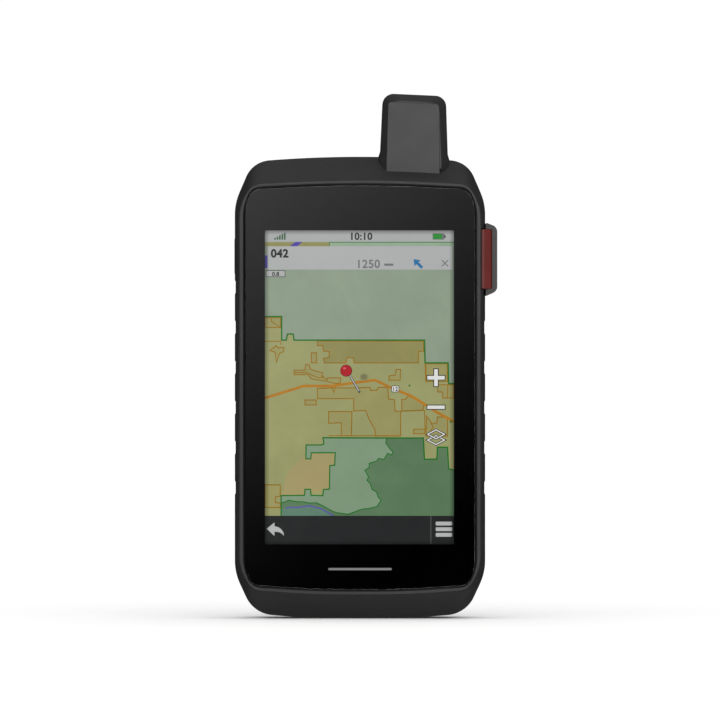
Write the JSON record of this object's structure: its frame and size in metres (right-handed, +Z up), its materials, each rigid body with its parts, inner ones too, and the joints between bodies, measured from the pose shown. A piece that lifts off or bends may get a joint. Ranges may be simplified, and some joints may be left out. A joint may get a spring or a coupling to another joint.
{
  "type": "handheld gps unit",
  "caption": "Rugged handheld satellite navigator with a large touchscreen, a stub antenna, a hinged emergency-button guard and a latched battery door.",
  "frame": {"origin": "middle of the small flat face under the foot, which the unit stands on", "axes": "+Z up along the body, +Y from the screen to the back, +X to the right of someone looking at the screen"},
  "size_m": [0.0915, 0.033, 0.1827],
  "materials": {
    "housing_plastic": "satin",
    "antenna_cover_plastic": "satin",
    "grip_rubber": "matte",
    "seal_rubber": "matte",
    "cover_glass": "polished",
    "sensor_film": "satin",
    "display": "satin",
    "backlight": "matte",
    "chassis_metal": "satin",
    "flex_ribbon": "satin",
    "circuit_board": "satin",
    "shield_steel": "satin",
    "chip_black": "matte",
    "ceramic": "matte",
    "battery_wrap": "satin",
    "gold": "polished",
    "former_plastic": "matte",
    "copper": "polished",
    "guard_plastic": "satin",
    "sos_red": "satin",
    "steel": "satin",
    "latch_plastic": "satin",
    "spine_plastic": "satin",
    "speaker_black": "matte"
  },
  "bodies": {
    "root": {"front_frame": "housing_plastic", "rear_housing": "housing_plastic", "housing_seal": "seal_rubber", "side_grip_left": "grip_rubber", "side_grip_right": "grip_rubber", "cover_glass": "cover_glass", "glass_gasket": "seal_rubber", "glass_adhesive": "seal_rubber", "touch_sensor": "sensor_film", "display_panel": "display", "backlight_unit": "backlight", "chassis_plate": "chassis_metal", "display_flex": "flex_ribbon", "main_board": "circuit_board", "shield_cans": "shield_steel", "board_chips": "chip_black", "gnss_patch_antenna": "ceramic", "card_socket": "shield_steel", "memory_card": "chip_black", "vibration_motor": "shield_steel", "battery_pack": "battery_wrap", "battery_contacts": "gold", "antenna_housing": "housing_plastic", "antenna_front_cover": "antenna_cover_plastic", "antenna_former": "former_plastic", "antenna_winding": "copper", "antenna_coax": "gold", "sos_hinge_pin": "steel", "sos_switch": "chip_black", "power_switch": "chip_black", "battery_door_seal": "seal_rubber", "door_hinge_pins": "steel", "latch_insert": "gold", "mounting_spine": "spine_plastic", "spine_screws": "steel", "cradle_contacts": "gold", "speaker": "speaker_black", "speaker_mesh": "speaker_black", "antenna_jack": "gold", "usb_port": "shield_steel", "lanyard_bar": "steel", "housing_screws": "steel", "board_screws": "steel"},
    "guard": {"sos_guard": "guard_plastic", "sos_guard_insert": "sos_red"},
    "sos_key": {"sos_button": "sos_red"},
    "power_button": {"power_key": "housing_plastic"},
    "door": {"battery_door": "housing_plastic"},
    "knob": {"latch_knob": "latch_plastic", "latch_clip": "steel", "d_ring_pin": "steel"},
    "ring": {"d_ring": "steel"},
    "jack_flap": {"antenna_jack_cap": "grip_rubber"},
    "usb_flap": {"usb_cap": "grip_rubber"}
  },
  "joints": [
    {"name": "guard_hinge", "type": "hinge", "parent": "root", "child": "guard", "pos_m": [0.0455, 0.0083, 0.125], "axis": [0, 0, 1], "range_deg": [0, 105]},
    {"name": "sos_press", "type": "slide", "parent": "root", "child": "sos_key", "axis": [-1, 0, 0], "range_m": [0, 0.0008], "stiffness_N_per_m": 900, "springref_m": -0.0008},
    {"name": "power_press", "type": "slide", "parent": "root", "child": "power_button", "axis": [1, 0, 0], "range_m": [0, 0.0006], "stiffness_N_per_m": 900, "springref_m": -0.0006},
    {"name": "door_hinge", "type": "hinge", "parent": "root", "child": "door", "pos_m": [0, 0.0119, 0.11], "axis": [1, 0, 0], "range_deg": [0, 100]},
    {"name": "latch_turn", "type": "hinge", "parent": "door", "child": "knob", "pos_m": [0, 0.0123, 0.0235], "axis": [0, 1, 0], "range_deg": [0, 90]},
    {"name": "ring_hinge", "type": "hinge", "parent": "knob", "child": "ring", "pos_m": [0, 0.0143, 0.0284], "axis": [1, 0, 0], "range_deg": [0, 100]},
    {"name": "jack_flap_hinge", "type": "hinge", "parent": "root", "child": "jack_flap", "pos_m": [0.0329, 0.01215, 0.132], "axis": [0, 0, -1], "range_deg": [0, 85]},
    {"name": "usb_flap_hinge", "type": "hinge", "parent": "root", "child": "usb_flap", "pos_m": [0.018, 0.0054, 0.00175], "axis": [1, 0, 0], "range_deg": [0, 90]}
  ]
}
